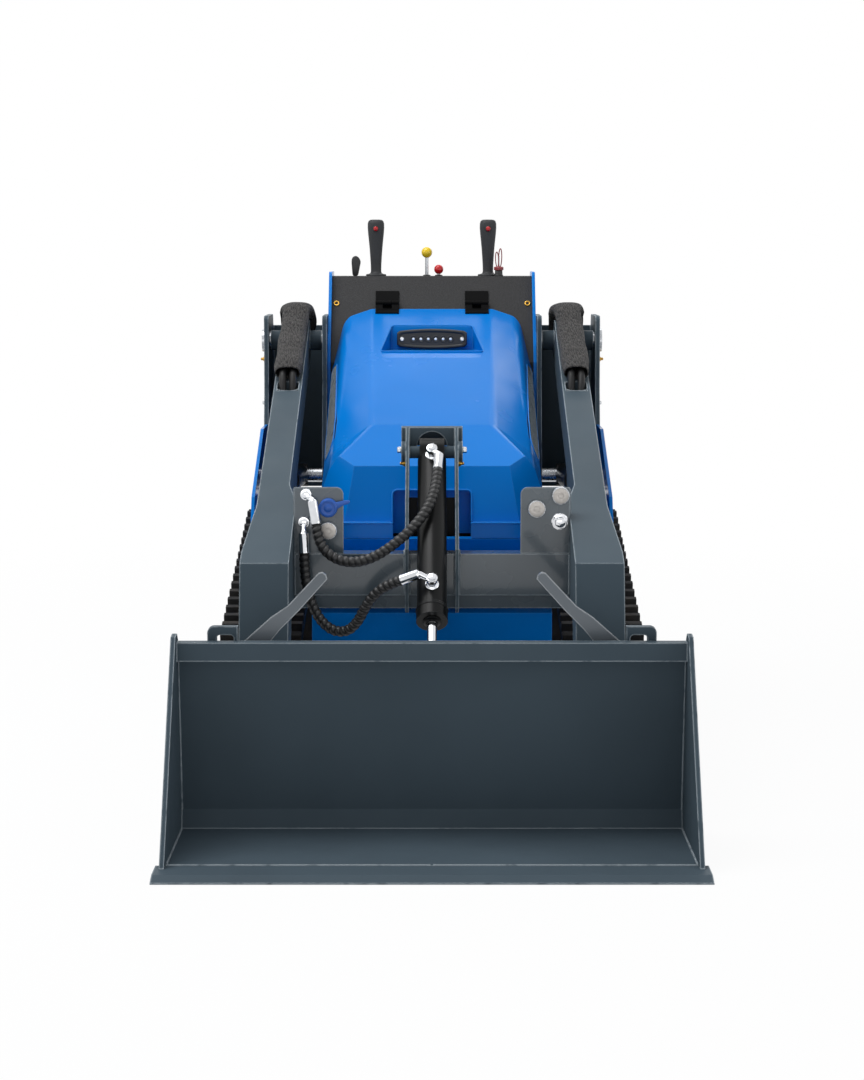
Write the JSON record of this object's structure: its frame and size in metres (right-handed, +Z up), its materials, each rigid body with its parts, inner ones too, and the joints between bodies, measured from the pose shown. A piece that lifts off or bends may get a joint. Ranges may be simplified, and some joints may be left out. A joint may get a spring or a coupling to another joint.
{
  "type": "compact track loader",
  "caption": "Stand-on compact track loader: bucket on curved side arms, sloping hood with mesh side grilles, rubber tracks and a fold-up operator step at the rear.",
  "frame": {"origin": "on the ground under the middle of the machine's length and width", "axes": "+X to the right when the machine is seen from the front, the bucket towards -Y, +Z up"},
  "size_m": [1.08, 2.4, 1.282],
  "materials": {
    "slate": "semi-gloss",
    "blue": "gloss",
    "black_paint": "satin",
    "charcoal": "textured powder coat",
    "grey_steel": "satin",
    "bare_steel": "worn",
    "chrome": "polished",
    "track_rubber": "matt",
    "hose_rubber": "satin",
    "black_plastic": "matt",
    "red_plastic": "gloss",
    "lamp": "clear lens",
    "textile": "woven nylon",
    "pad": "vinyl"
  },
  "bodies": {
    "chassis": {"track_right": "track_rubber", "track_left": "track_rubber", "track_frames": "slate", "front_idlers": "slate", "track_rollers": "slate", "drive_sprockets": "slate", "chassis_tub": "blue", "engine_block": "black_paint", "console_panel": "charcoal", "console_side_plates": "blue", "hood_hinge_mounts": "black_paint", "drive_grips": "black_plastic", "ball_levers": "red_plastic", "throttle_lever": "black_plastic", "key_switch": "red_plastic", "thigh_pad": "pad", "grab_bar": "slate", "towers": "slate", "tower_pins": "bare_steel", "fenders": "blue", "platform_lugs": "slate"},
    "hood": {"hood_shell": "blue", "hood_notch_panel": "blue", "hood_grilles": "black_paint", "work_lamp": "lamp", "hood_hinge_leaves": "black_paint"},
    "arms": {"lift_arm_right": "slate", "lift_arm_left": "slate", "cross_tube": "slate", "tilt_bracket": "slate", "coupler_plates": "slate", "hydraulic_couplers": "chrome", "hose_sleeves": "textile", "tilt_hose_upper": "hose_rubber", "tilt_hose_lower": "hose_rubber"},
    "lift_cylinder_right": {"lift_barrel_right": "black_paint"},
    "lift_ram_right": {"lift_rod_right": "chrome"},
    "lift_cylinder_left": {"lift_barrel_left": "black_paint"},
    "lift_ram_left": {"lift_rod_left": "chrome"},
    "tilt_cylinder": {"tilt_barrel": "black_paint", "barrel_fittings": "chrome"},
    "tilt_ram": {"tilt_rod_bar": "chrome"},
    "bucket": {"hitch_plate": "slate", "lock_levers": "grey_steel", "cutting_edge": "slate", "bucket_shell": "slate"},
    "platform": {"platform_step": "black_paint"}
  },
  "joints": [
    {"name": "arm_lift", "type": "hinge", "parent": "chassis", "child": "arms", "pos_m": [0, 0.634, 0.967], "axis": [-1, 0, 0], "range_deg": [0, 70]},
    {"name": "bucket_tilt", "type": "hinge", "parent": "arms", "child": "bucket", "pos_m": [0, -0.714, 0.165], "axis": [1, 0, 0], "range_deg": [-22, 100]},
    {"name": "hood_open", "type": "hinge", "parent": "chassis", "child": "hood", "pos_m": [0, 0.6942, 1.0625], "axis": [-1, 0, 0], "range_deg": [0, 60]},
    {"name": "platform_fold", "type": "hinge", "parent": "chassis", "child": "platform", "pos_m": [0, 0.836, 0.235], "axis": [1, 0, 0], "range_deg": [0, 88]},
    {"name": "lift_cylinder_swing_right", "type": "hinge", "parent": "chassis", "child": "lift_cylinder_right", "pos_m": [0.354, 0.558, 0.62], "axis": [-1, 0, 0], "range_deg": [0, 62]},
    {"name": "lift_rod_slide_right", "type": "slide", "parent": "lift_cylinder_right", "child": "lift_ram_right", "axis": [0, -0.9977, 0.0676], "range_m": [0, 0.4]},
    {"name": "lift_cylinder_swing_left", "type": "hinge", "parent": "chassis", "child": "lift_cylinder_left", "pos_m": [-0.354, 0.558, 0.62], "axis": [-1, 0, 0], "range_deg": [0, 62]},
    {"name": "lift_rod_slide_left", "type": "slide", "parent": "lift_cylinder_left", "child": "lift_ram_left", "axis": [0, -0.9977, 0.0676], "range_m": [0, 0.4]},
    {"name": "tilt_cylinder_swing", "type": "hinge", "parent": "arms", "child": "tilt_cylinder", "pos_m": [0, -0.292, 0.752], "axis": [1, 0, 0], "range_deg": [-2, 3]},
    {"name": "tilt_rod_slide", "type": "slide", "parent": "tilt_cylinder", "child": "tilt_ram", "axis": [0, -0.7168, -0.6972], "range_m": [-0.06, 0.24]}
  ],
  "couplings": [
    {"joint": "lift_cylinder_swing_right", "follows": "arm_lift", "ratio": 0.855},
    {"joint": "lift_rod_slide_right", "follows": "arm_lift", "m_per_rad": 0.3127},
    {"joint": "lift_cylinder_swing_left", "follows": "arm_lift", "ratio": 0.855},
    {"joint": "lift_rod_slide_left", "follows": "arm_lift", "m_per_rad": 0.3127},
    {"joint": "tilt_cylinder_swing", "follows": "bucket_tilt", "ratio": 0.001},
    {"joint": "tilt_rod_slide", "follows": "bucket_tilt", "m_per_rad": 0.1306}
  ]
}
